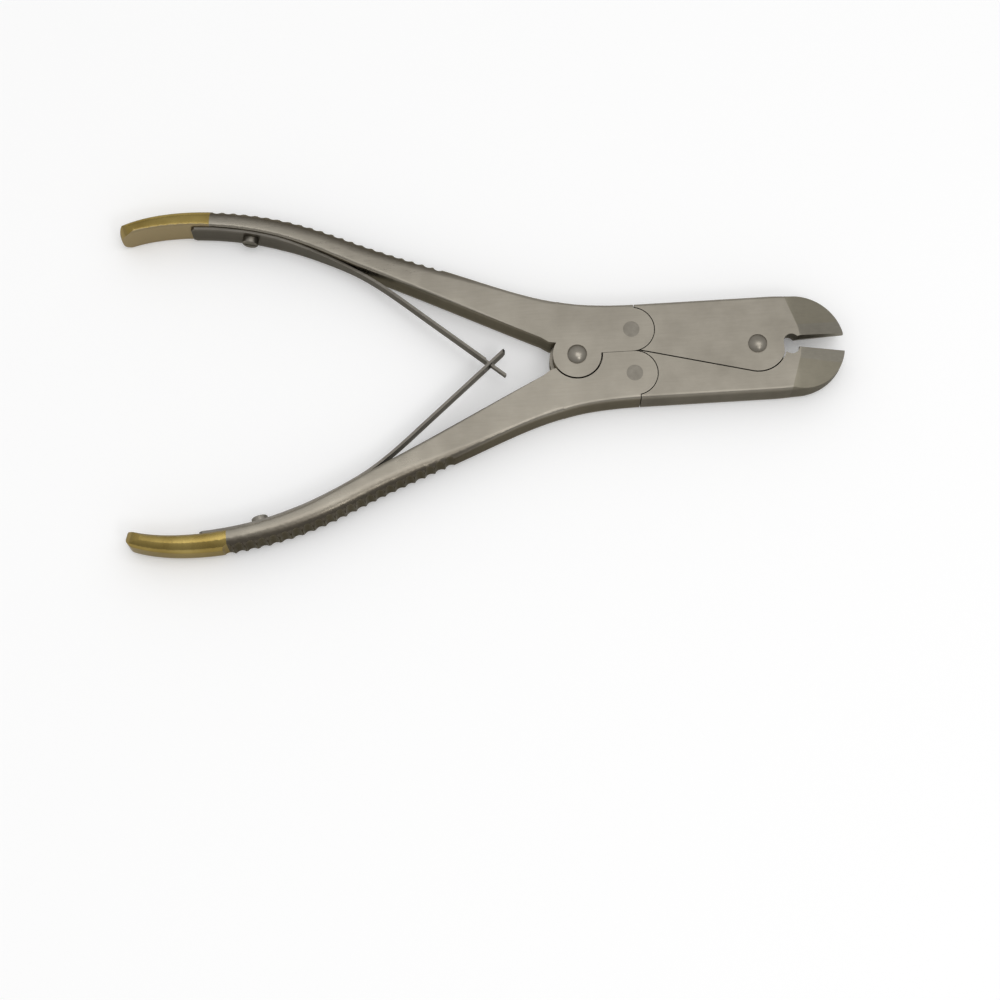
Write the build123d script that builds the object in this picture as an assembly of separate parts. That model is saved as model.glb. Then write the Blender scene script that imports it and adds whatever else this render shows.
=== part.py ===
from build123d import *
from math import asin, cos, radians, sin, sqrt, tan
import os

# Double action wire cutter, 22 cm, side cutting head with brazed carbide edges and two leaf springs.
# Working frame: main rivet at the origin, +X to the jaw tips, +Y to the upper handle, mid-plane at z = 0.
# The instrument lies fully open, as at rest. Everything is in millimetres.

# Linkage
pivot_span = 55.0          # main rivet to jaw rivet
link_forward = 17.0        # link pins ahead of the main rivet
link_offset = 7.0          # link pins to either side of the axis
jaw_open_angle = 5.3       # half of the jaw opening, degrees

# Head
head_thickness = 10.0
fork_margin = 1.16         # steel outside the round fork end, to the outer edge of the head
edge_round = 0.9           # rounding of the long outer edges
lap_gap = 0.06             # between the two layers of a lap joint
mating_gap = 0.12          # between the two handles when open
upper_boss_radius = 7.35   # round lap boss of the upper handle
lower_boss_radius = 8.3    # round lap boss of the lower handle
boss_gap = 0.5             # round a handle boss in its recess
jaw_boss_radius = 8.7
jaw_boss_gap = 0.38        # round a jaw boss, and along the jaw seam

# Fork and tongue at the link pins
tongue_thickness = 3.5
tongue_radius = 5.4
tongue_side_gap = 0.06
tongue_end_gap = 0.25
tongue_root = 0.43         # tongue beyond the hollow jaw shoulder, inside the jaw
tongue_spread_up = 50.0    # tongue neck, degrees above the forward direction
tongue_spread_down = 44.0
slot_spread_up = 54.0      # fork slot, the same
slot_spread_down = 70.0
link_arc_gap = 0.28        # between the round fork end and the hollow jaw shoulder

# Rivets and link pins
handle_rivet_radius = 2.3
handle_rivet_head_radius = 2.95
handle_rivet_head_height = 1.7
jaw_rivet_radius = 2.2
jaw_rivet_head_radius = 2.85
jaw_rivet_head_height = 1.6
link_pin_radius = 2.5
running_fit = 0.03         # radial, where a pin turns in its hole
linkage_fit = 0.095        # radial, jaw rivet in the upper jaw
tight_fit = 0.005          # radial, where a pin is fixed in its hole
head_seat_gap = 0.03       # under the rivet heads
rivet_rim = 0.35           # straight rim of a rivet head, under the dome
rivet_end_flare = 0.7      # countersunk rivet end, wider than the shank
rivet_end_depth = 1.0
pin_recess = 0.05          # link pins lie this far under the faces

# Cutting end of a jaw
tip_ahead = 27.0           # jaw rivet to the jaw tips
tip_arc_radius = 14.3      # round outer corner of the jaw
keyhole_ahead = 10.35      # jaw rivet to the keyhole
keyhole_radius = 2.35
keyhole_top = 2.55         # far side of the keyhole in the layer of the jaw boss
keyhole_bottom = 3.8       # far side of the keyhole in the other layer
keyhole_land = 2.2         # front thickness that the keyhole keeps, behind it is relieved
keyhole_back = 4.7         # far side of the relief behind it
facet_ahead = 13.5         # jaw rivet to where the facets begin, on the axis
facet_lean = 18.0          # degrees that the start of a facet leans back
facet_slope = 0.26         # drop for each millimetre forward
edge_touch_gap = 0.02      # left between each edge and the axis when closed
edge_depth_heel = 1.7      # cutting edge under the front face, beside the keyhole
edge_depth_tip = 1.0       # the same at the tip
front_lean = 0.32          # front bevel, sideways for each millimetre of height
back_lean = 0.3            # long relief behind the cutting edge, the same
insert_depth = 4.2         # carbide insert behind the cutting edge
insert_heel_gap = 0.35     # steel between the keyhole and the insert

# Handles: the inner face follows these points, from the neck to the end
inner_path = [
    (-10.5, 6.0),
    (-29.6, 15.4),
    (-49.4, 25.3),
    (-69.1, 35.0),
    (-84.0, 42.2),
    (-98.7, 46.8),
    (-113.0, 48.9),
    (-126.0, 49.0),
    (-137.7, 46.72),
]
shoulder_back = 8.3        # where the inner face turns to the boss
shoulder_height = 4.5
neck_slope = 15.5          # degrees, outer edge at the neck to the axis
# Outer edge of the head, from the link joint to the neck: place, and rise over its straight part
head_outer_path = [(9.9, 0.25), (4.9, 0.65), (0.0, 1.3)]
# Stations along the inner face: share of its length, width, depth beyond the head's, outer and inner rounding
handle_stations = [
    (0.00, 12.75, 0.0, 1.3, 0.15),
    (0.07, 11.05, 0.0, 1.25, 0.3),
    (0.14, 10.1, 0.0, 1.3, 0.5),
    (0.24, 9.35, 0.1, 2.4, 0.7),
    (0.34, 8.45, 0.4, 3.5, 0.9),
    (0.46, 7.5, 0.8, 4.1, 0.9),
    (0.60, 6.5, 1.3, 4.1, 0.9),
    (0.74, 5.75, 1.6, 3.8, 0.9),
    (0.86, 5.25, 1.7, 3.4, 0.9),
    (0.94, 4.7, 1.7, 3.1, 0.9),
]
end_width = 3.9            # handle width at its end
end_outer_round = 2.6
end_inner_round = 0.9
end_inner_nose = 0.7       # rounding of the end, seen from above, inner side
end_outer_nose = 3.3       # the same, outer side
end_corner = 5.0           # rounding of the end, seen square to the grip

# Finger grooves across the outer side
groove_count = 22
groove_pitch = 3.3
groove_radius = 1.65
groove_depth = 1.15
groove_start_share = 0.278

# Leaf springs
leaf_thickness = 0.8
leaf_seat_gap = 0.05
leaf_end_share = 0.84      # rear end of the leaf, along the inner face
leaf_leave_share = 0.52    # where the leaf leaves the handle
leaf_cross_back = 26.5     # crossing point behind the main rivet
leaf_cross_angle = 40.6    # degrees, free leaf to the axis
leaf_past_cross = 6.0      # leaf length beyond the crossing
leaf_straight = 24.0       # straight length before the crossing
leaf_width_back = 9.0
leaf_width_front = 4.6
leaf_taper_from = 89.0     # the taper begins this far behind the main rivet
leaf_taper_to = 66.0       # and ends here
leaf_corner = 2.0
leaf_tip_corner = 0.7
tongue_leaf_width = 2.3    # end of the upper leaf
window_width = 2.9         # opening in the lower leaf
window_half_length = 2.1   # along the axis, to either side of the crossing
leaf_samples = 14

# Spring screws
screw_share = 0.705        # place along the inner face
screw_shank_radius = 1.25
screw_head_radius = 2.5
screw_head_height = 2.0
screw_slot_width = 0.7
screw_slot_depth = 0.8
screw_depth = 3.6          # shank length inside the handle
leaf_hole_radius = 1.5
screw_fit = 0.005
screw_seat_gap = 0.03

half = head_thickness / 2
deep = half + 3.0
lap = lap_gap / 2
wide = 60.0
main_pivot = Vector(0, 0)
jaw_pivot = Vector(pivot_span, 0)
link_pivot = Vector(link_forward, link_offset)
fork_radius = link_offset - mating_gap / 2
shoulder_radius = fork_radius + link_arc_gap
tongue_reach = shoulder_radius + tongue_root
head_half_width = link_offset + fork_radius + fork_margin
tip_reach = pivot_span + tip_ahead
keyhole_forward = pivot_span + keyhole_ahead
facet_start = pivot_span + facet_ahead
joint_x = link_forward + fork_radius * sin(radians(10.0))
seam_start = link_forward + sqrt(shoulder_radius ** 2 - link_offset ** 2) + 0.8
seam_angle = asin((jaw_boss_radius + jaw_boss_gap / 2) / (pivot_span - seam_start))
edge_slope = tan(radians(jaw_open_angle))
tip_centre = Vector(tip_reach - tip_arc_radius, 0.45)
inner_face = Spline(*[Vector(x, y) for x, y in inner_path])


def disc(centre, radius, low, high):
    """Round plate between two heights."""
    return Pos(centre.X, centre.Y, (low + high) / 2) * Cylinder(radius, high - low)


def plate(corners, low, high):
    """Plate with straight sides between two heights."""
    outline = make_face(Polyline(*corners, close=True))
    return extrude(Pos(0, 0, low) * outline, high - low)


def sector(centre, reach, angle_low, angle_high, low, high):
    """Wedge plate with its point on a pivot, between two directions."""
    corners = [(centre.X, centre.Y)]
    for step in range(5):
        angle = radians(angle_low + (angle_high - angle_low) * step / 4)
        corners.append((centre.X + reach * cos(angle), centre.Y + reach * sin(angle)))
    return plate(corners, low, high)


def turned_over(shape):
    """The same shape turned half round the axis of the instrument."""
    return shape.rotate(Axis.X, 180)


def along(share):
    """Point, direction and outward direction on the inner face."""
    point = inner_face @ share
    direction = inner_face % share
    return point, direction, Vector(direction.Y, -direction.X, 0)


def between(share, column):
    """Value of a handle station column at a share of the length."""
    for before, after in zip(handle_stations, handle_stations[1:]):
        if share <= after[0]:
            part = (share - before[0]) / (after[0] - before[0])
            return before[column] + part * (after[column] - before[column])
    return handle_stations[-1][column]


def section(share, width, extra_depth, outer_round, inner_round):
    """Closed profile across the handle: flat inner side, rounded outer side."""
    point, direction, outward = along(share)
    frame = Plane(origin=point, x_dir=outward, z_dir=direction)
    side = (head_thickness + extra_depth) / 2
    outline = [
        Line((0, -side + inner_round), (0, side - inner_round)),
        RadiusArc((0, side - inner_round), (inner_round, side), inner_round),
        Line((inner_round, side), (width - outer_round, side)),
        RadiusArc((width - outer_round, side), (width, side - outer_round), outer_round),
        Line((width, side - outer_round), (width, -side + outer_round)),
        RadiusArc((width, -side + outer_round), (width - outer_round, -side), outer_round),
        Line((width - outer_round, -side), (inner_round, -side)),
        RadiusArc((inner_round, -side), (0, -side + inner_round), inner_round),
    ]
    return frame * make_face(outline)


def make_grip():
    """Handle behind the neck: loft over the stations, rounded end, finger grooves."""
    profiles = [section(*station) for station in handle_stations]
    profiles.append(section(1.0, end_width, handle_stations[-1][2], end_outer_round, end_inner_round))
    grip = loft(profiles)
    point, direction, outward = along(1.0)
    side = (head_thickness + handle_stations[-1][2]) / 2
    for face in (1, -1):
        corner = Plane(origin=point + outward * (end_width / 2), x_dir=direction, z_dir=outward)
        square = Pos(-end_corner / 2, face * (side - end_corner / 2), 0) * Box(end_corner, end_corner, 20)
        bar = Pos(-end_corner, face * (side - end_corner), 0) * Cylinder(end_corner, 24)
        oversize = Pos(2.0, face * 2.0, 0) * square
        grip -= corner * (square + oversize - bar)
    narrowing = (handle_stations[-1][1] - end_width) / ((1 - handle_stations[-1][0]) * inner_face.length)
    outer_side = end_width + narrowing * end_outer_nose
    for nose, edge, turn in ((end_inner_nose, 0, 1), (end_outer_nose, outer_side, -1)):
        bar = Pos(-nose, edge + turn * nose, 0) * Cylinder(nose, 24)
        square = Pos(0, edge, 0) * Box(2 * nose, 2 * nose, 24)
        grip -= Plane(origin=point, x_dir=direction, z_dir=(0, 0, -1)) * (square - bar)
    for number in range(groove_count):
        share = groove_start_share + number * groove_pitch / inner_face.length
        point, direction, outward = along(share)
        centre = point + outward * (between(share, 1) + groove_radius - groove_depth)
        grip -= disc(centre, groove_radius, -10, 10)
    return grip


def make_handle(boss_radius, recess_radius, bore_radius):
    """Handle in the place of the upper one: grip, head block, round boss, recess, fork and holes."""
    point, direction, outward = along(0.0)
    neck_outer = point + outward * handle_stations[0][1]
    outer_curve = Spline(
        (joint_x, head_half_width),
        *[(x, head_half_width + rise) for x, rise in head_outer_path],
        (neck_outer.X, neck_outer.Y),
        tangents=((-1, 0), (-cos(radians(neck_slope)), sin(radians(neck_slope)))),
    )
    fork_top = link_offset + sqrt(fork_radius ** 2 - (joint_x - link_forward) ** 2)
    fork_arc = ThreePointArc(
        (link_forward, mating_gap / 2),
        (link_forward + fork_radius, link_offset),
        (joint_x, fork_top),
    )
    outline = [
        outer_curve,
        Line((neck_outer.X, neck_outer.Y), (point.X, point.Y)),
        Line((point.X, point.Y), (-shoulder_back, shoulder_height)),
        Line((-shoulder_back, shoulder_height), (-boss_radius * 0.8, shoulder_height * 0.9)),
        Line((-boss_radius * 0.8, shoulder_height * 0.9), (-boss_radius * 0.8, mating_gap / 2)),
        Line((-boss_radius * 0.8, mating_gap / 2), (link_forward, mating_gap / 2)),
        fork_arc,
        Line((joint_x, fork_top), (joint_x, head_half_width)),
    ]
    block = extrude(Pos(0, 0, -half) * make_face(outline), head_thickness)
    long_edges = [
        edge for edge in block.edges().filter_by(GeomType.LINE, reverse=True)
        if abs(abs((edge @ 0.5).Z) - half) < 0.01 and (edge @ 0.5).Y > head_half_width - 0.5
    ]
    block = fillet(long_edges, edge_round)
    block -= disc(main_pivot, recess_radius, -deep, lap)
    handle = block + disc(main_pivot, boss_radius, lap, half) + make_grip()
    slot_half = tongue_thickness / 2 + tongue_side_gap
    handle -= disc(link_pivot, tongue_radius + tongue_end_gap, -slot_half, slot_half)
    handle -= sector(link_pivot, 14.0, -slot_spread_down, slot_spread_up, -slot_half, slot_half)
    handle -= disc(link_pivot, link_pin_radius + tight_fit, -deep, deep)
    handle -= disc(main_pivot, bore_radius, -deep, deep)
    handle -= screw_frame() * (Pos(0, 0, -screw_depth - screw_fit) * Cylinder(
        screw_shank_radius + screw_fit, screw_depth + 2.0, align=(Align.CENTER, Align.CENTER, Align.MIN)))
    return handle


def screw_frame():
    """Frame of a spring screw: origin on the inner face, Z pointing away from the handle."""
    point, direction, outward = along(screw_share)
    return Plane(origin=point, x_dir=direction, z_dir=outward * -1)


def seam_line(side, offset):
    """Far start and tangent point of the seam, moved towards the upper jaw by an offset."""
    reach = (pivot_span - seam_start) * sin(seam_angle)
    distance = reach - side * offset
    tangent = (pivot_span - distance * sin(seam_angle), side * -distance * cos(seam_angle))
    back = pivot_span - 10.0
    start = (tangent[0] - back * cos(seam_angle), tangent[1] + side * back * sin(seam_angle))
    return start, tangent


def make_jaw(bore_radius, front):
    """Jaw in the place of the upper one, carbide edge in one piece. The front face is at front * half."""
    corner = Vector(pivot_span + 5.0, head_half_width)
    arc_start = Vector(tip_centre.X, tip_centre.Y + tip_arc_radius)
    arc_middle = tip_centre + Vector(tip_arc_radius * cos(radians(45)), tip_arc_radius * sin(radians(45)))
    arc_end = Vector(tip_centre.X + tip_arc_radius, tip_centre.Y)
    jaw_x = joint_x + link_arc_gap
    outline = [
        Line((jaw_x, head_half_width), (corner.X, corner.Y)),
        Spline((corner.X, corner.Y), (arc_start.X, arc_start.Y), tangents=((1, 0), (1, 0))),
        ThreePointArc((arc_start.X, arc_start.Y), (arc_middle.X, arc_middle.Y), (arc_end.X, arc_end.Y)),
        Line((arc_end.X, arc_end.Y), (arc_end.X, -12)),
        Line((arc_end.X, -12), (jaw_x, -12)),
        Line((jaw_x, -12), (jaw_x, head_half_width)),
    ]
    jaw = extrude(Pos(0, 0, -half) * make_face(outline), head_thickness)
    long_edges = [
        edge for edge in jaw.edges()
        if abs(abs((edge @ 0.5).Z) - half) < 0.01 and (edge @ 0.5).Y > 3 and abs((edge % 0.5).X) > 0.3
    ]
    jaw = fillet(long_edges, edge_round)
    jaw -= disc(link_pivot, shoulder_radius, -deep, deep)
    jaw -= plate([(0, -20), (0, fork_top_height()), (joint_x, fork_top_height()),
                  (link_forward, link_offset), (link_forward, -20)], -deep, deep)
    # Layer of the jaw boss, z > 0
    start, tangent = seam_line(1, jaw_boss_gap / 2)
    far = tip_reach + 5
    below = plate([start, tangent, (pivot_span, 0), (far, 0), (far, -30), (start[0], -30)], -lap, deep)
    jaw -= below - disc(jaw_pivot, jaw_boss_radius, -deep, deep)
    # Layer of the other boss, z < 0
    start, tangent = seam_line(-1, jaw_boss_gap / 2)
    below = plate([start, tangent, (pivot_span, 0), (far, 0), (far, -30), (start[0], -30)], -deep, lap)
    jaw -= below + disc(jaw_pivot, jaw_boss_radius + jaw_boss_gap, -deep, lap)
    # Keyhole, deeper in the layer of the other boss and deepest behind its front land
    land = (-deep, half - keyhole_land) if front > 0 else (-half + keyhole_land, deep)
    for top, low, high in ((keyhole_top, -lap, deep), (keyhole_bottom, -deep, lap), (keyhole_back, *land)):
        centre = Vector(keyhole_forward, top - keyhole_radius)
        jaw -= disc(centre, keyhole_radius, low, high)
        jaw -= plate([
            (keyhole_forward - keyhole_radius, centre.Y), (keyhole_forward + keyhole_radius, centre.Y),
            (keyhole_forward + keyhole_radius, -30), (keyhole_forward - keyhole_radius, -30)], low, high)
    # Facets of both faces, thinning the jaw to its tip
    lean = radians(facet_lean)
    for face in (1, -1):
        tilt = Vector(facet_slope * cos(lean), facet_slope * sin(lean), face).normalized()
        origin = Vector(facet_start, 2.0, face * half)
        jaw -= Plane(origin=origin, z_dir=tilt) * Box(
            wide, wide, 12, align=(Align.CENTER, Align.CENTER, Align.MIN))
    # Short bevel before the cutting edge and long relief behind it
    drop = facet_slope * (tip_reach + 1.0 - facet_start) * cos(lean)
    edge_profiles = []
    for place, height in (
        (facet_start - 1.2, half - edge_depth_heel),
        (tip_reach + 1.0, half - drop - edge_depth_tip),
    ):
        edge_y = edge_slope * (place - pivot_span) + edge_touch_gap
        front_y = edge_y + front_lean * (deep - height)
        back_y = edge_y + back_lean * (deep + height)
        points = [(edge_y, height), (front_y, deep), (-14, deep), (-14, -deep), (back_y, -deep)]
        face = make_face(Polyline(*[(y, z * front) for y, z in points], close=True))
        edge_profiles.append(Plane(origin=(place, 0, 0), x_dir=(0, 1, 0), z_dir=(1, 0, 0)) * face)
    jaw -= loft(edge_profiles, ruled=True)
    jaw -= disc(jaw_pivot, bore_radius, -deep, deep)
    return max(jaw.solids(), key=lambda solid: solid.volume)


def fork_top_height():
    """Height at which the round fork end meets the straight joint line."""
    return link_offset + sqrt(fork_radius ** 2 - (joint_x - link_forward) ** 2)


def insert_zone(margin):
    """Room of the carbide insert in the upper jaw, along the cutting edge."""
    start = keyhole_forward + keyhole_radius + insert_heel_gap
    zone = Pos(0, -5.0, 0) * Box(
        40, 5.0 + insert_depth - margin, 20, align=(Align.MIN, Align.MIN, Align.CENTER))
    frame = Location((start - margin, edge_slope * (start - pivot_span), 0), (0, 0, jaw_open_angle))
    return frame * zone


def make_tongue():
    """Tongue at the back of the upper jaw, with the hole for the link pin."""
    tongue_half = tongue_thickness / 2
    tongue = disc(link_pivot, tongue_radius, -tongue_half, tongue_half)
    tongue += sector(link_pivot, tongue_reach, -tongue_spread_down, tongue_spread_up, -tongue_half, tongue_half)
    return tongue - disc(link_pivot, link_pin_radius + running_fit, -deep, deep)


def make_rivet(centre, shank_radius, head_radius, head_height):
    """Rivet with a domed head above and a flush countersunk end below."""
    ball = (head_radius ** 2 + (head_height - rivet_rim) ** 2) / (2 * (head_height - rivet_rim))
    floor = half + head_seat_gap
    dome = Pos(centre.X, centre.Y, floor + head_height - ball) * Sphere(ball)
    dome = dome & disc(centre, head_radius, floor, floor + head_height + 1)
    shank = disc(centre, shank_radius, -half, floor + 0.2)
    return dome + shank + rivet_end(centre, shank_radius, 0)


def rivet_end(centre, shank_radius, fit):
    """Cone of a flush rivet end, or of its seat when a fit is given."""
    length = rivet_end_depth + fit
    cone = Cone(shank_radius + rivet_end_flare + fit, shank_radius, length,
                align=(Align.CENTER, Align.CENTER, Align.MIN))
    return Pos(centre.X, centre.Y, -half) * cone


def leaf_path():
    """Points and directions down the middle of the upper leaf, from its rear end to its tip."""
    lift = leaf_seat_gap + leaf_thickness / 2
    points = []
    for number in range(leaf_samples + 1):
        share = leaf_end_share + (leaf_leave_share - leaf_end_share) * number / leaf_samples
        point, direction, outward = along(share)
        points.append((point - outward * lift, direction * -1))
    turn = radians(leaf_cross_angle)
    straight = Vector(cos(turn), -sin(turn), 0)
    crossing = Vector(-leaf_cross_back, 0, 0)
    bend_start, start_direction = points[-1]
    bend_end = crossing - straight * leaf_straight
    reach = (bend_end - bend_start).length * 0.4
    bend = Bezier(bend_start, bend_start + start_direction * reach, bend_end - straight * reach, bend_end)
    for number in range(1, 7):
        points.append((bend @ (number / 6), bend % (number / 6)))
    return points, bend_end, crossing + straight * leaf_past_cross, straight


def make_leaf(crossing_cut):
    """Leaf spring of the upper handle: curved strip, tapered and rounded in its other view."""
    points, bend_end, tip, straight = leaf_path()
    sides = []
    for side in (1, -1):
        row = []
        for point, direction in points:
            normal = Vector(-direction.Y, direction.X, 0)
            row.append(point + normal * (side * leaf_thickness / 2))
        sides.append(row)
    square = Vector(-straight.Y, straight.X, 0) * (leaf_thickness / 2)
    last = points[-1][1]
    first = points[0][1]
    outline = [
        Spline(*sides[0], tangents=(first, last)),
        Line(sides[0][-1], tip + square),
        Line(tip + square, tip - square),
        Line(tip - square, sides[1][-1]),
        Spline(*sides[1], tangents=(first, last)),
        Line(sides[1][0], sides[0][0]),
    ]
    strip = extrude(Pos(0, 0, -8) * make_face(outline), 16)
    back_x = points[0][0].X - 1.0
    tip_x = tip.X + 0.2
    half_back = leaf_width_back / 2
    half_front = leaf_width_front / 2
    corners = [
        (back_x, -half_back + leaf_corner), (back_x + leaf_corner, -half_back),
        (-leaf_taper_from, -half_back), (-leaf_taper_to, -half_front),
        (tip_x - leaf_tip_corner, -half_front), (tip_x, -half_front + leaf_tip_corner),
        (tip_x, half_front - leaf_tip_corner), (tip_x - leaf_tip_corner, half_front),
        (-leaf_taper_to, half_front), (-leaf_taper_from, half_back),
        (back_x + leaf_corner, half_back), (back_x, half_back - leaf_corner),
    ]
    view = make_face(Polyline(*corners, close=True))
    outline_plane = Plane(origin=(0, 0, 0), x_dir=(1, 0, 0), z_dir=(0, -1, 0))
    leaf = strip & extrude(outline_plane * view, 70, both=True)
    leaf -= extrude(outline_plane * crossing_cut, 12, both=True)
    return leaf - screw_frame() * Cylinder(leaf_hole_radius, 12)


def make_screw():
    """Slotted cheese head screw that holds the upper leaf to its handle."""
    seat = leaf_seat_gap + leaf_thickness + screw_seat_gap
    shank = Pos(0, 0, (seat + 0.2 - screw_depth) / 2) * Cylinder(screw_shank_radius, screw_depth + seat + 0.2)
    head = Pos(0, 0, seat + screw_head_height / 2) * Cylinder(screw_head_radius, screw_head_height)
    head = chamfer(head.edges().sort_by(Axis.Z)[-1], 0.3)
    slot = Pos(0, 0, seat + screw_head_height) * Box(
        8, screw_slot_width, 2 * screw_slot_depth)
    return screw_frame() * (shank + head - slot)


def side_bar(low, high, near, far):
    """Rectangle of the side view, from one place to another along the axis."""
    return make_face(Polyline((near, low), (far, low), (far, high), (near, high), close=True))


print("handles")
handle_upper = make_handle(upper_boss_radius, lower_boss_radius + boss_gap, handle_rivet_radius + running_fit)
handle_lower = turned_over(
    make_handle(lower_boss_radius, upper_boss_radius + boss_gap, handle_rivet_radius + tight_fit))
handle_lower -= rivet_end(main_pivot, handle_rivet_radius, tight_fit)
print("jaws")
whole_upper = make_jaw(jaw_rivet_radius + linkage_fit, 1)
whole_lower = make_jaw(jaw_rivet_radius + tight_fit, -1)
zone = insert_zone(0)
jaw_upper = whole_upper - zone + make_tongue()
insert_upper = whole_upper & zone
jaw_lower = turned_over(whole_lower - zone + make_tongue())
jaw_lower -= rivet_end(jaw_pivot, jaw_rivet_radius, tight_fit)
insert_lower = turned_over(whole_lower & zone)
print("rivets and pins")
handle_rivet = make_rivet(main_pivot, handle_rivet_radius, handle_rivet_head_radius, handle_rivet_head_height)
jaw_rivet = make_rivet(jaw_pivot, jaw_rivet_radius, jaw_rivet_head_radius, jaw_rivet_head_height)
pin_upper = disc(link_pivot, link_pin_radius, -half + pin_recess, half - pin_recess)
print("springs")
shoulder = -leaf_cross_back - window_half_length * 0.5
reach = 10.0
band = leaf_width_back
tongue_cut = side_bar(tongue_leaf_width / 2, band, shoulder, shoulder + reach)
tongue_cut += side_bar(-band, -tongue_leaf_width / 2, shoulder, shoulder + reach)
window_cut = side_bar(
    -window_width / 2, window_width / 2,
    -leaf_cross_back - window_half_length, -leaf_cross_back + window_half_length * 0.7)
leaf_upper = make_leaf(tongue_cut)
leaf_lower = turned_over(make_leaf(window_cut))
screw_upper = make_screw()

parts = {
    "handle_upper": handle_upper,
    "handle_lower": handle_lower,
    "jaw_upper": jaw_upper,
    "jaw_lower": jaw_lower,
    "carbide_insert_upper": insert_upper,
    "carbide_insert_lower": insert_lower,
    "handle_pivot_rivet": handle_rivet,
    "jaw_pivot_rivet": jaw_rivet,
    "link_pin_upper": pin_upper,
    "link_pin_lower": turned_over(pin_upper),
    "spring_leaf_upper": leaf_upper,
    "spring_leaf_lower": leaf_lower,
    "spring_screw_upper": screw_upper,
    "spring_screw_lower": turned_over(screw_upper),
}
overall = Compound(children=[shape for shape in parts.values()]).bounding_box()
centre = overall.center()
shift = Pos(-centre.X, -centre.Y, -overall.min.Z)
print("shift", round(-centre.X, 4), round(-centre.Y, 4), round(-overall.min.Z, 4), overall.size)
os.makedirs("parts", exist_ok=True)
for name, shape in parts.items():
    solids = shape.solids()
    if len(solids) > 1:
        print("more than one solid:", name, [round(solid.volume, 3) for solid in solids])
    solid = max(solids, key=lambda one: one.volume)
    print(name, round(solid.volume, 1), solid.is_valid)
    export_step(shift * solid, "parts/" + name + ".step")
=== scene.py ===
from math import cos, pi, radians, sin

import bmesh
import bpy
import numpy as np
from mathutils import Matrix, Vector


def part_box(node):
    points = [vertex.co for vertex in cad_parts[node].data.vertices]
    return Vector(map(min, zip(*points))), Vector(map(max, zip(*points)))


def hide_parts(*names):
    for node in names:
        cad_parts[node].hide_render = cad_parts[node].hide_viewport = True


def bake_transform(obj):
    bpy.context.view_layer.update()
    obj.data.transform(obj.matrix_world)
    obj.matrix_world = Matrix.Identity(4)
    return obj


mm = 0.001

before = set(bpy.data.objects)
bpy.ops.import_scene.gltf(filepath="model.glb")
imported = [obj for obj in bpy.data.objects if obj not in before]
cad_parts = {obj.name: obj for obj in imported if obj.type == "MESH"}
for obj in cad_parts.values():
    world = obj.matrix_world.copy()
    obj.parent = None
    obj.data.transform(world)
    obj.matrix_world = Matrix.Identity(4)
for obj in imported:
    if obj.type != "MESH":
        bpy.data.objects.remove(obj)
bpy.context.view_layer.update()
print("frame loaded")

rivetLow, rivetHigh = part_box("handle_pivot_rivet")
headLow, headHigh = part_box("jaw_upper")
# Where the main rivet crosses the mid-plane of the head, in mm. The instrument's axis runs along X.
seat = {"x": (rivetLow.x + rivetHigh.x) / 2 / mm, "y": 0.0, "z": (headLow.z + headHigh.z) / 2 / mm}

cameraSet = {
    "tiltFromVertical": 15.5,      # degrees
    "distance": 660.4,             # mm, to the point looked at
    "lens": 79.2, "sensor": 36.0,  # mm
    "nearest": 10.0,               # mm, nothing closer is drawn
    "rivetAcross": 23.42,          # mm, main rivet to the right of the point looked at
    "rivetUp": 44.55,              # mm, and above it, on the table
    "axisTurn": 3.6,               # degrees, instrument's axis to the photograph's width
}


# The camera looks down at a point of the mid-plane, tilted back from the vertical.
# Its place and axes are turned by minus the axis turn and moved to the main rivet.
def makeCamera(p):
    tilt = radians(p["tiltFromVertical"])
    turn = Matrix.Rotation(-radians(p["axisTurn"]), 3, "Z")
    rivet = Vector((p["rivetAcross"], p["rivetUp"], 0.0))
    place = Vector((0.0, -p["distance"] * sin(tilt), p["distance"] * cos(tilt)))
    place = turn @ (place - rivet) + Vector((seat["x"], seat["y"], seat["z"]))
    right = turn @ Vector((1.0, 0.0, 0.0))
    up = turn @ Vector((0.0, cos(tilt), sin(tilt)))
    back = right.cross(up)
    cam = bpy.data.cameras.new("camera")
    cam.lens = p["lens"]
    cam.sensor_width = p["sensor"]
    cam.clip_start = p["nearest"] * mm
    obj = bpy.data.objects.new("camera", cam)
    bpy.context.scene.collection.objects.link(obj)
    axes = Matrix((right, up, back)).transposed().to_4x4()
    obj.matrix_world = Matrix.Translation(place * mm) @ axes
    bpy.context.scene.camera = obj


makeCamera(cameraSet)
print("camera placed")


# Gives a socket its value: a link from another socket, a colour of three numbers, or a number.
def feed(tree, socket, value):
    if isinstance(value, bpy.types.NodeSocket):
        tree.links.new(value, socket)
    elif isinstance(value, tuple):
        socket.default_value = (*value, 1.0)
    else:
        socket.default_value = value


# A new node with its settings, and with values for its sockets by name or number.
def newNode(tree, kind, values, **settings):
    node = tree.nodes.new("ShaderNode" + kind)
    for key, value in settings.items():
        setattr(node, key, value)
    for key, value in values.items():
        feed(tree, node.inputs[key], value)
    return node


# An empty node tree with a Principled shader wired to its output.
def newMaterial(name):
    mat = bpy.data.materials.new(name)
    mat.use_nodes = True
    tree = mat.node_tree
    tree.nodes.clear()
    shader = newNode(tree, "BsdfPrincipled", {})
    newNode(tree, "OutputMaterial", {"Surface": shader.outputs[0]})
    return mat, tree, shader


# The three components of a texture coordinate: "Object" is the place in metres, "Normal" the way
# a surface faces, and "Generated", in the world, the direction looked in.
def components(tree, output):
    coords = newNode(tree, "TexCoord", {})
    return newNode(tree, "SeparateXYZ", {0: coords.outputs[output]}).outputs


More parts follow.
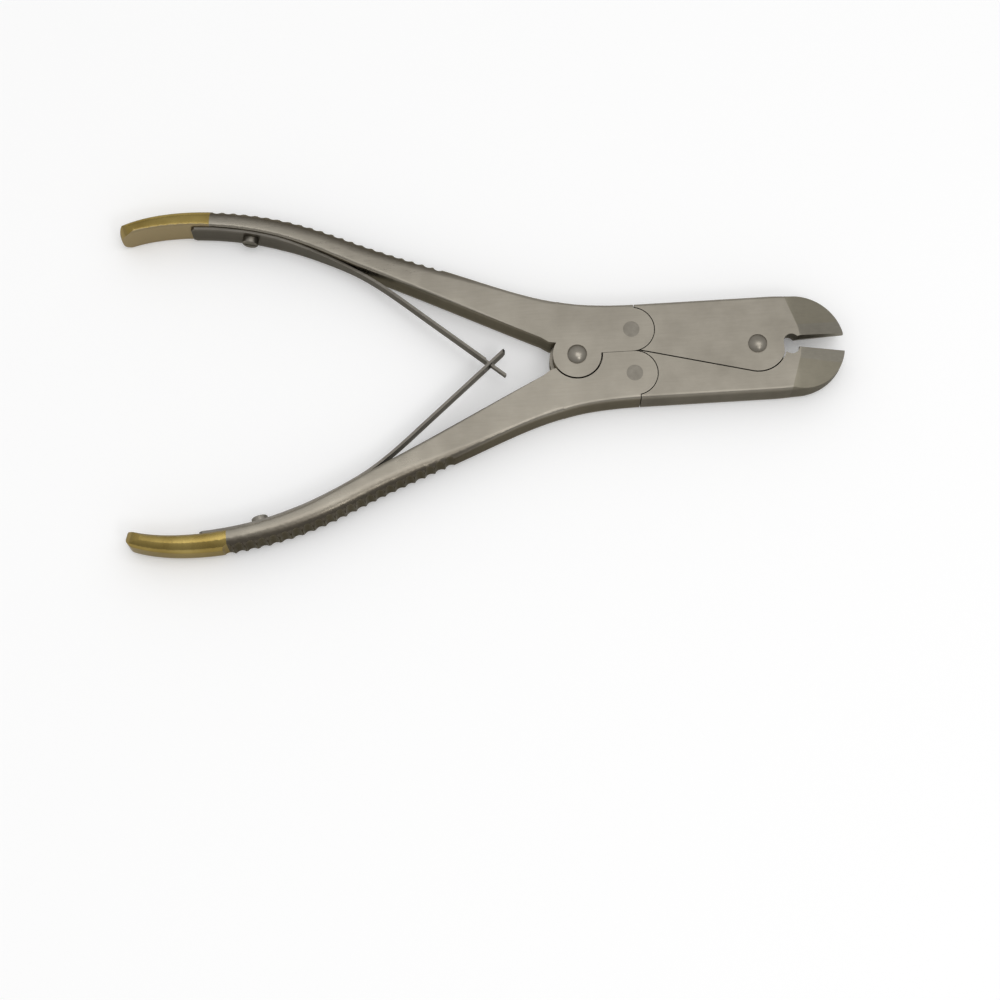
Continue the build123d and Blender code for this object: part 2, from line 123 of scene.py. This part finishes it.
# Object coordinates in mm, stretched by a scale and turned about Z.
def objectCoords(tree, scale=(1.0, 1.0, 1.0), turn=0.0):
    coords = newNode(tree, "TexCoord", {})
    mapping = newNode(tree, "Mapping", {"Vector": coords.outputs["Object"]})
    mapping.inputs["Scale"].default_value = [s / mm for s in scale]
    mapping.inputs["Rotation"].default_value[2] = turn
    return mapping.outputs[0]


# Fractal noise of about one blotch for each 1/scale mm, with values round a half.
def noise(tree, vector, scale, detail=3.0, rough=0.55):
    values = {"Vector": vector, "Scale": scale, "Detail": detail, "Roughness": rough}
    return newNode(tree, "TexNoise", values).outputs[0]


# Straight-line change of range, clamped at both ends.
def remap(tree, value, low, high, toLow, toHigh):
    values = {"Value": value, "From Min": low, "From Max": high, "To Min": toLow, "To Max": toHigh}
    return newNode(tree, "MapRange", values).outputs[0]


# The middle range of a noise, spread from one number to another.
def spread(tree, value, toLow, toHigh):
    return remap(tree, value, 0.3, 0.7, toLow, toHigh)


# One operation on two values, each a socket or a number.
def mathNode(tree, operation, first, second):
    return newNode(tree, "Math", {0: first, 1: second}, operation=operation).outputs[0]


# Blend of two colours, each a socket or three numbers. The mix node's colour sockets are 6 and 7,
# and its colour comes out of socket 2.
def mixColour(tree, factor, first, second, blend="MIX"):
    values = {0: factor, 6: first, 7: second}
    return newNode(tree, "Mix", values, data_type="RGBA", blend_type=blend).outputs[2]


# Product of two colours.
def tint(tree, first, second):
    return mixColour(tree, 1.0, first, second, "MULTIPLY")


# Bump normal from a height, with its depth in mm.
def bump(tree, height, strength, depth):
    values = {"Height": height, "Strength": strength, "Distance": depth * mm}
    return newNode(tree, "Bump", values).outputs[0]


# How far a surface leans inwards, to the axis of the instrument, and how flat it lies: the inward
# part of its normal, and the size of its upward part.
def leaning(tree):
    normal = components(tree, "Normal")
    side = mathNode(tree, "SIGN", components(tree, "Object")[1], 0.0)
    inward = mathNode(tree, "MULTIPLY", mathNode(tree, "MULTIPLY", side, normal[1]), -1.0)
    return inward, mathNode(tree, "ABSOLUTE", normal[2], 0.0)


# Height in metres from the mid-plane, the same for both faces.
def fromMidPlane(tree):
    height = mathNode(tree, "SUBTRACT", components(tree, "Object")[2], seat["z"] * mm)
    return mathNode(tree, "ABSOLUTE", height, 0.0)


# Distance in metres past a line in plan, mirrored to both sides of the instrument: the offset
# from a point of the line, along the direction square to it.
def pastLine(tree, point, direction):
    place = components(tree, "Object")
    turn = radians(direction)
    along = mathNode(tree, "SUBTRACT", place[0], (point[0] + seat["x"]) * mm)
    across = mathNode(tree, "SUBTRACT", mathNode(tree, "ABSOLUTE", place[1], 0.0), point[1] * mm)
    return mathNode(tree, "ADD",
                    mathNode(tree, "MULTIPLY", along, cos(turn)),
                    mathNode(tree, "MULTIPLY", across, sin(turn)))


# 0 before a line and 1 past it, with a blend of the given mm to each side of it.
def lineMask(tree, point, direction, blend):
    return remap(tree, pastLine(tree, point, direction), -blend * mm, blend * mm, 0.0, 1.0)


plain = (1.0, 1.0, 1.0)    # a tint that changes nothing
steelSet = {
    "dark": (0.22, 0.20, 0.164), "light": (0.38, 0.35, 0.296), "rough": 0.42,
    # the side walls' tints: painted shade, rising to a painted highlight at their edges
    "wallShadeTone": (0.38, 0.37, 0.345), "wallEdgeHighlight": (0.78, 0.77, 0.745),    # tints of the side walls
    "wallUpTo": 0.25, "faceFrom": 0.9,     # upward part of the normal, from all wall to all face
    "edgeHighlightFrom": 2.6, "edgeHighlightTo": 4.9,          # mm from the mid-plane, where a wall lightens to its edge
    "grazing": (0.72, 0.70, 0.65),         # what is left of the glare on a surface seen edge-on
    "cloudScale": 0.06, "cloudStretch": (1.0, 1.0, 0.5), "cloudWeight": 0.17,
    "streakScale": 1.6, "streakStretch": (0.08, 1.0, 1.0), "streakWeight": 0.09,
    "streakTurn": 0.0, "streakHeight": 0.12,
    "roughClouds": 0.05, "roughStreaks": 0.04,     # how far the noises change the roughness
    "grainScale": 4.0, "bumpDepth": 0.012, "bumpStrength": 0.5,
}


# Colour, roughness and grain of a hand-finished steel: wide cloudy patches, a fine blasted
# grain and faint streaks, along the instrument or turned across it, added with their own weights.
# Side walls are painted darker than the faces, as painted shade, and lighter towards their edges, as a
# painted highlight.
def steelLayers(tree, p):
    along = objectCoords(tree, p["streakStretch"], p["streakTurn"])
    clouds = noise(tree, objectCoords(tree, p["cloudStretch"]), p["cloudScale"], detail=4.0, rough=0.6)
    grain = noise(tree, objectCoords(tree), p["grainScale"], detail=2.0, rough=0.7)
    streaks = noise(tree, along, p["streakScale"], detail=3.0, rough=0.7)
    tone = mathNode(tree, "ADD",
                    spread(tree, clouds, -p["cloudWeight"], p["cloudWeight"]),
                    spread(tree, streaks, -p["streakWeight"], p["streakWeight"]))
    colour = mixColour(tree, mathNode(tree, "ADD", tone, 0.5), p["dark"], p["light"])
    # painted shade on the walls, lightened to a painted highlight near the faces
    flat = remap(tree, leaning(tree)[1], p["wallUpTo"], p["faceFrom"], 0.0, 1.0)
    edgeHighlight = remap(tree, fromMidPlane(tree), p["edgeHighlightFrom"] * mm, p["edgeHighlightTo"] * mm, 0.0, 1.0)
    wall = mixColour(tree, edgeHighlight, p["wallShadeTone"], p["wallEdgeHighlight"])
    colour = tint(tree, colour, mixColour(tree, flat, wall, plain))
    rough = mathNode(tree, "ADD",
                     spread(tree, clouds, p["rough"] + p["roughClouds"], p["rough"] - p["roughClouds"]),
                     spread(tree, streaks, -p["roughStreaks"], p["roughStreaks"]))
    height = mathNode(tree, "ADD", grain, mathNode(tree, "MULTIPLY", streaks, p["streakHeight"]))
    return colour, rough, height


# Wires the layers of a metal to its shader.
def wireMetal(tree, shader, p, colour, rough, height):
    normal = bump(tree, height, p["bumpStrength"], p["bumpDepth"])
    for key, value in (("Metallic", 1.0), ("Specular Tint", p["grazing"]),
                       ("Base Color", colour), ("Roughness", rough), ("Normal", normal)):
        feed(tree, shader.inputs[key], value)


# Plain satin steel with the layers above. Past the facet line its colour is painted darker, as painted shade
# on the ground facets.
def makeSteel(name, changes):
    p = {**steelSet, **changes}
    mat, tree, shader = newMaterial(name)
    colour, rough, height = steelLayers(tree, p)
    if "facetLine" in p:
        # painted shade past the facet line
        shadeMask = lineMask(tree, p["facetLine"], p["facetTurn"], p["facetBlend"])
        colour = tint(tree, colour, mixColour(tree, shadeMask, plain, p["facetShadeTone"]))
    wireMetal(tree, shader, p, colour, rough, height)
    return mat


handleSet = {
    **steelSet, "grazing": (0.60, 0.57, 0.50),
    "gripFrom": -12.0, "gripFull": -50.0,      # mm from the main rivet, where the grip's finish comes in
    "gripPolish": 0.12,                        # and how much it takes off the roughness
    # painted shade on what leans outwards on the grip
    "outerShadeTone": (0.38, 0.36, 0.335),          # tint of what leans outwards
    "outerShadeFrom": -0.05, "outerShadeTo": 0.5,        # outward part of the normal, from no tint to all of it
}
goldSet = {
    "boundary": (-110.4, 48.6),    # mm along the axis from the main rivet and off it, on the inner face
    "slant": 174.0,                # degrees, direction of the grip there
    "blend": 0.05,                 # mm, softness of the plating's edge
    "colour": (0.365, 0.275, 0.092), "deep": (0.25, 0.178, 0.052), "rough": 0.2,
    "blotchScale": 0.09,
    # the inner side's darker, greyer gold is painted shade; its higher roughness is its duller finish
    "innerShadeColour": (0.33, 0.265, 0.155), "innerRough": 0.5,    # inner side, plated over a blasted face
    "innerFrom": 0.12, "innerFull": 0.45,    # inward part of the normal, from no to all inner side
    "grainLeft": 0.07,             # share of the steel's grain that is left under the plating
}
lowerGold = {"boundary": (-108.0, 48.4), "slant": 180.0}


# Where the grip begins: 0 on the head, rising to 1 along the neck.
def gripMask(tree, p):
    full, start = [(seat["x"] + x) * mm for x in (p["gripFull"], p["gripFrom"])]
    return remap(tree, components(tree, "Object")[0], full, start, 1.0, 0.0)


# Painted shade on a grip's surface that leans outwards, away from the axis of the instrument.
def outerShade(tree, p):
    outward = remap(tree, leaning(tree)[0], -p["outerShadeTo"], -p["outerShadeFrom"], 1.0, 0.0)
    shadeMask = mathNode(tree, "MULTIPLY", outward, gripMask(tree, p))
    return mixColour(tree, shadeMask, plain, p["outerShadeTone"])


# Satin steel that turns to polished gold behind a line across the grip, duller on its inner side, where the
# gold's colour is also painted darker and greyer as painted shade. The grip is smoother than the head, and
# painted darker where it leans outwards, as painted shade.
def makeHandleSteel(name, p, g):
    mat, tree, shader = newMaterial(name)
    colour, rough, height = steelLayers(tree, p)
    # painted shade where the grip leans outwards
    colour = tint(tree, colour, outerShade(tree, p))
    rough = mathNode(tree, "SUBTRACT", rough, mathNode(tree, "MULTIPLY", gripMask(tree, p), p["gripPolish"]))
    plated = lineMask(tree, g["boundary"], g["slant"], g["blend"])
    bare = mathNode(tree, "SUBTRACT", 1.0, plated)
    inner = remap(tree, leaning(tree)[0], g["innerFrom"], g["innerFull"], 0.0, 1.0)
    blotches = spread(tree, noise(tree, objectCoords(tree), g["blotchScale"]), 0.0, 1.0)
    gold = mixColour(tree, blotches, g["deep"], g["colour"])
    # painted shade: the inner side's gold is darker and greyer
    gold = mixColour(tree, inner, gold, g["innerShadeColour"])
    goldRough = remap(tree, inner, 0.0, 1.0, g["rough"], g["innerRough"])
    rough = mathNode(tree, "ADD",
                     mathNode(tree, "MULTIPLY", plated, goldRough),
                     mathNode(tree, "MULTIPLY", bare, rough))
    grainKept = remap(tree, plated, 0.0, 1.0, 1.0, g["grainLeft"])
    height = mathNode(tree, "MULTIPLY", height, grainKept)
    wireMetal(tree, shader, p, mixColour(tree, plated, colour, gold), rough, height)
    return mat


upperSteel = makeHandleSteel("upperHandleSteel", handleSet, goldSet)
lowerSteel = makeHandleSteel("lowerHandleSteel", handleSet, {**goldSet, **lowerGold})
facetSet = {
    "facetLine": (68.5, 2.0),      # mm along the axis from the main rivet and off it
    "facetTurn": 18.0,             # degrees, direction square to the line
    "facetBlend": 0.1,             # mm
    # painted shade on the ground facets
    "facetShadeTone": (0.79, 0.79, 0.735),
}
jawSteel = makeSteel("jawSteel", {**facetSet, "streakTurn": pi / 2, "cloudScale": 0.07})
carbideSteel = makeSteel("carbideSteel", {
    "dark": (0.172, 0.159, 0.13), "light": (0.295, 0.276, 0.231), "rough": 0.36, "streakTurn": pi / 2,
    "cloudScale": 0.07, "streakWeight": 0.12, "streakScale": 2.4, "wallShadeTone": plain, "wallEdgeHighlight": plain})
rivetSteel = makeSteel("rivetSteel", {
    "dark": (0.205, 0.186, 0.154), "light": (0.345, 0.32, 0.275), "rough": 0.34, "cloudScale": 0.3})
pinSteel = makeSteel("pinSteel", {
    "dark": (0.18, 0.163, 0.134), "light": (0.29, 0.27, 0.232), "rough": 0.5, "cloudScale": 0.4})
springSteel = makeSteel("springSteel", {
    "dark": (0.12, 0.11, 0.095), "light": (0.24, 0.223, 0.195), "rough": 0.36, "streakWeight": 0.25})
screwSteel = makeSteel("screwSteel", {
    "dark": (0.205, 0.19, 0.162), "light": (0.36, 0.336, 0.292), "rough": 0.34, "cloudScale": 0.5})

nodeFinish = {
    "handle_upper": upperSteel, "handle_lower": lowerSteel,
    "jaw_upper": jawSteel, "jaw_lower": jawSteel,
    "carbide_insert_upper": carbideSteel, "carbide_insert_lower": carbideSteel,
    "handle_pivot_rivet": rivetSteel, "jaw_pivot_rivet": rivetSteel,
    "link_pin_upper": pinSteel, "link_pin_lower": pinSteel,
    "spring_screw_upper": screwSteel, "spring_screw_lower": screwSteel,
}
shadeSet = {
    "weldWithin": 0.002,       # mm
    "splitAngle": 24.0,        # degrees, sharper edges stay hard
    "faceWeight": 80,          # how far large faces count for more than small ones
}


# Smooth shading of a CAD node: its loose triangles are welded, edges sharper than the angle are
# split, and large flat faces keep their own normals, all by modifiers, so its mesh stays as it is.
def finishNode(obj, mat, p):
    obj.data.materials.clear()
    obj.data.materials.append(mat)
    obj.data.polygons.foreach_set("material_index", np.zeros(len(obj.data.polygons), np.int32))
    obj.data.polygons.foreach_set("use_smooth", np.ones(len(obj.data.polygons), bool))
    weld = obj.modifiers.new("weld", "WELD")
    weld.merge_threshold = p["weldWithin"] * mm
    split = obj.modifiers.new("split", "EDGE_SPLIT")
    split.split_angle = radians(p["splitAngle"])
    normals = obj.modifiers.new("normals", "WEIGHTED_NORMAL")
    normals.mode = "FACE_AREA"
    normals.weight = p["faceWeight"]


for name, mat in nodeFinish.items():
    finishNode(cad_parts[name], mat, shadeSet)
print("materials given to the CAD nodes")


leafSet = {
    "mergeWithin": 0.001,          # mm
    "cuts": 70,                    # planes across a leaf, so that it can bend
    "cutSnap": 0.0001,             # mm, corners this near to a plane lie in it
    "bendFrom": (-76.0, 38.4),     # mm along and off the axis, where the leaf starts to leave its handle
    "bendTo": (-44.7, 15.6),       # and where it follows the free end
}


# A copy of a CAD leaf: the merged mesh is cut by evenly spaced planes square to the axis. The copy is not
# bent.
def makeLeaf(side, p):
    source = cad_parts["spring_leaf_" + side]
    low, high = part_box("spring_leaf_" + side)
    work = bmesh.new()
    work.from_mesh(source.data)
    bmesh.ops.remove_doubles(work, verts=work.verts, dist=p["mergeWithin"] * mm)
    for x in np.linspace(low.x, high.x, p["cuts"] + 2)[1:-1]:
        bmesh.ops.bisect_plane(work, geom=work.verts[:] + work.edges[:] + work.faces[:],
                               plane_co=(x, 0.0, 0.0), plane_no=(1.0, 0.0, 0.0), dist=p["cutSnap"] * mm)
    mesh = bpy.data.meshes.new("leaf_" + side)
    work.to_mesh(mesh)
    work.free()
    leaf = bpy.data.objects.new("leaf_" + side, mesh)
    bpy.context.scene.collection.objects.link(leaf)
    finishNode(leaf, springSteel, shadeSet)
    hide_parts("spring_leaf_" + side)
    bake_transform(leaf)


for side in ("upper", "lower"):
    makeLeaf(side, leafSet)
print("leaf springs made")


stageSet = {
    "floorSize": 4.0,                      # m
    "floorColour": (0.93, 0.93, 0.93), "floorRough": 0.9,
    "paperLift": 0.13,                     # added to the floor where it is seen, straight or in metal
    "skyTop": 0.80, "skyEdge": 0.55,       # strength of the world overhead and at the horizon
    "skyFront": 0.78,                      # share of it that is left on the side of the camera
    "frontSpan": (-0.8, 0.1),              # Y of the direction looked in, from that share to all of it
    # each lamp: watts, width and depth in m, place in m
    "lamps": {
        "overhead": (5.9, 0.95, 1.4, (0.32, -0.10, 1.6)),
        "front": (1.4, 0.3, 0.3, (0.45, -0.75, 1.10)),
    },
}


# Pale floor at the lowest level of the part, soft lamps aimed at the part, and a world whose
# strength rises with the sine of the height above the horizon and falls towards the camera's side.
def makeStage(p):
    s = p["floorSize"] / 2
    mesh = bpy.data.meshes.new("floor")
    mesh.from_pydata([(-s, -s, 0), (s, -s, 0), (s, s, 0), (-s, s, 0)], [], [(0, 1, 2, 3)])
    floor = bpy.data.objects.new("floor", mesh)
    bpy.context.scene.collection.objects.link(floor)
    mat, tree, shader = newMaterial("floorPaper")
    rays = newNode(tree, "LightPath", {})
    seen = mathNode(tree, "MAXIMUM", rays.outputs["Is Camera Ray"], rays.outputs["Is Glossy Ray"])
    seen = mathNode(tree, "MAXIMUM", seen, rays.outputs["Is Transmission Ray"])
    lift = mathNode(tree, "MULTIPLY", seen, p["paperLift"])
    for key, value in (("Base Color", p["floorColour"]), ("Roughness", p["floorRough"]),
                       ("Emission Color", plain), ("Emission Strength", lift)):
        feed(tree, shader.inputs[key], value)
    mesh.materials.append(mat)
    for name, (power, width, depth, place) in p["lamps"].items():
        lamp = bpy.data.lights.new(name, "AREA")
        lamp.shape = "RECTANGLE"
        lamp.size = width
        lamp.size_y = depth
        lamp.energy = power
        obj = bpy.data.objects.new(name, lamp)
        bpy.context.scene.collection.objects.link(obj)
        obj.location = place
        obj.rotation_euler = (-Vector(place)).to_track_quat("-Z", "Y").to_euler()
    world = bpy.data.worlds.new("studio")
    world.use_nodes = True
    tree = world.node_tree
    direction = components(tree, "Generated")
    height = remap(tree, direction[2], 0.0, 1.0, p["skyEdge"], p["skyTop"])
    front = remap(tree, direction[1], *p["frontSpan"], p["skyFront"], 1.0)
    background = tree.nodes["Background"]
    feed(tree, background.inputs["Color"], plain)
    feed(tree, background.inputs["Strength"], mathNode(tree, "MULTIPLY", height, front))
    bpy.context.scene.world = world


makeStage(stageSet)
bpy.context.scene.view_settings.view_transform = "Standard"
print("stage set")
